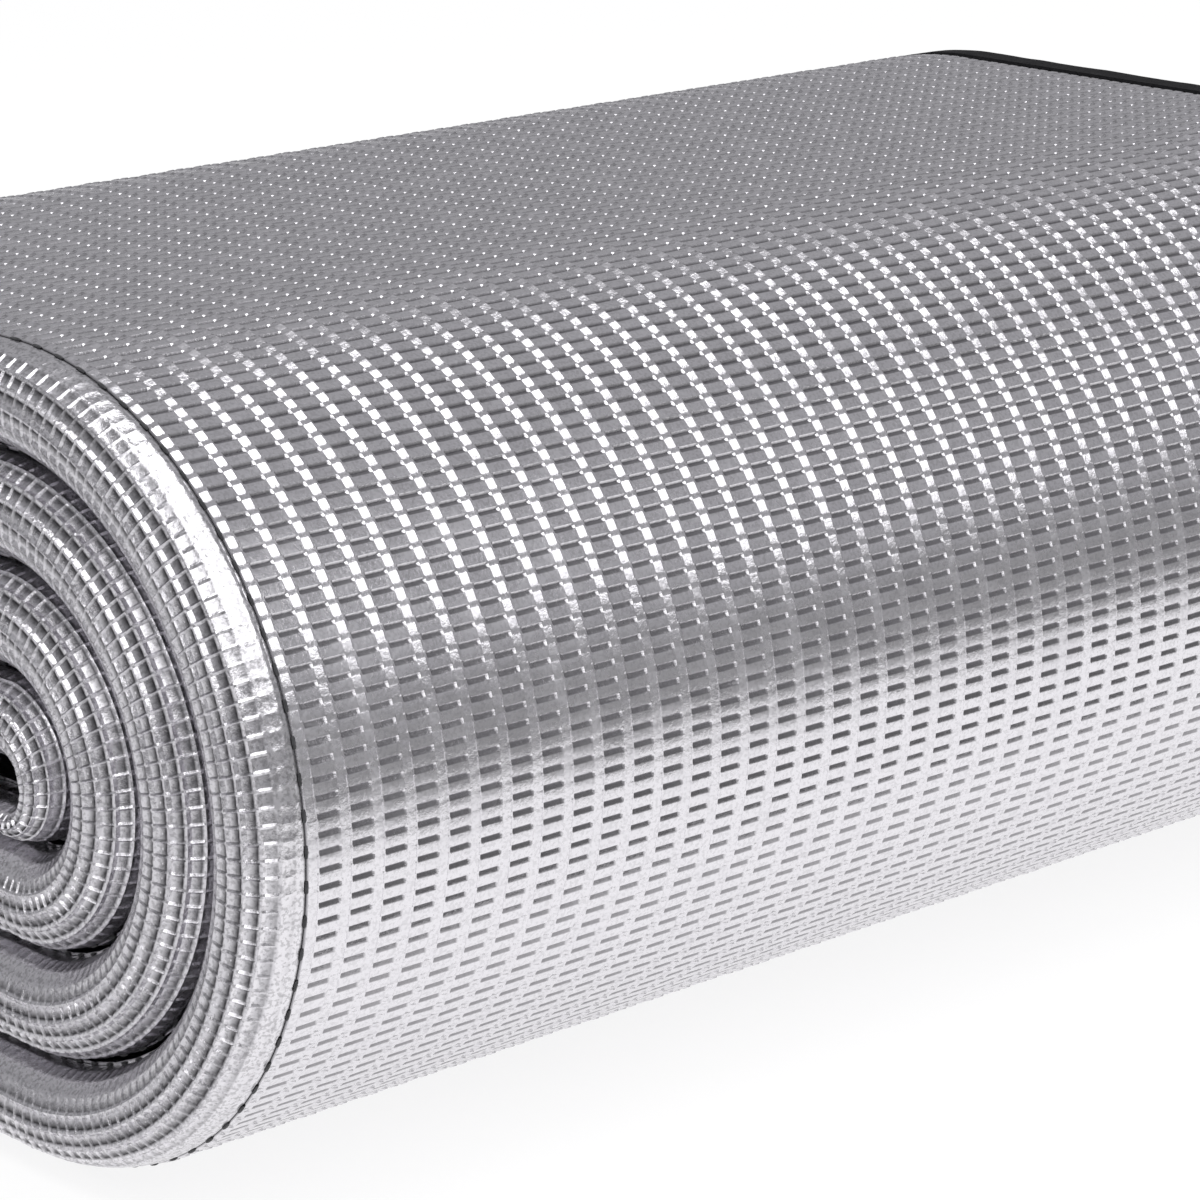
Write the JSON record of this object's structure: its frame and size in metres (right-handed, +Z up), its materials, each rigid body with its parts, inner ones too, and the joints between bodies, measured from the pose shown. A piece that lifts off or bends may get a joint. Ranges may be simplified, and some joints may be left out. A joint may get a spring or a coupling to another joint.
{
  "type": "foam sleeping pad",
  "caption": "Thick closed-cell foam sleeping pad in embossed metallised film, rolled up flat-sided and held by an elastic band over one edge.",
  "frame": {"origin": "on the surface the roll rests on, under the middle of its bounding box", "axes": "+X along the roll's axis towards the end with the elastic band, +Z up, +Y towards the side where the pad's outer end lies"},
  "size_m": [0.5, 0.3432, 0.2013],
  "materials": {
    "metallised_film": "satin",
    "foam": "matte",
    "seam_thread": "matte",
    "elastic": "matte"
  },
  "bodies": {
    "roll": {"foam_core": "foam", "outer_face_film": "metallised_film", "inner_face_film": "metallised_film", "left_edge_film": "metallised_film", "right_edge_film": "metallised_film", "outer_end_film": "metallised_film", "inner_end_film": "metallised_film", "left_edge_needle_thread": "seam_thread", "right_edge_needle_thread": "seam_thread", "outer_end_needle_thread": "seam_thread", "inner_end_needle_thread": "seam_thread", "left_edge_bobbin_thread": "seam_thread", "right_edge_bobbin_thread": "seam_thread", "outer_end_bobbin_thread": "seam_thread", "inner_end_bobbin_thread": "seam_thread"},
    "band": {"elastic_band": "elastic", "band_bartack": "seam_thread"}
  },
  "joints": [
    {"name": "band_slide", "type": "slide", "parent": "roll", "child": "band", "axis": [1, 0, 0], "range_m": [0, 0.06]}
  ]
}
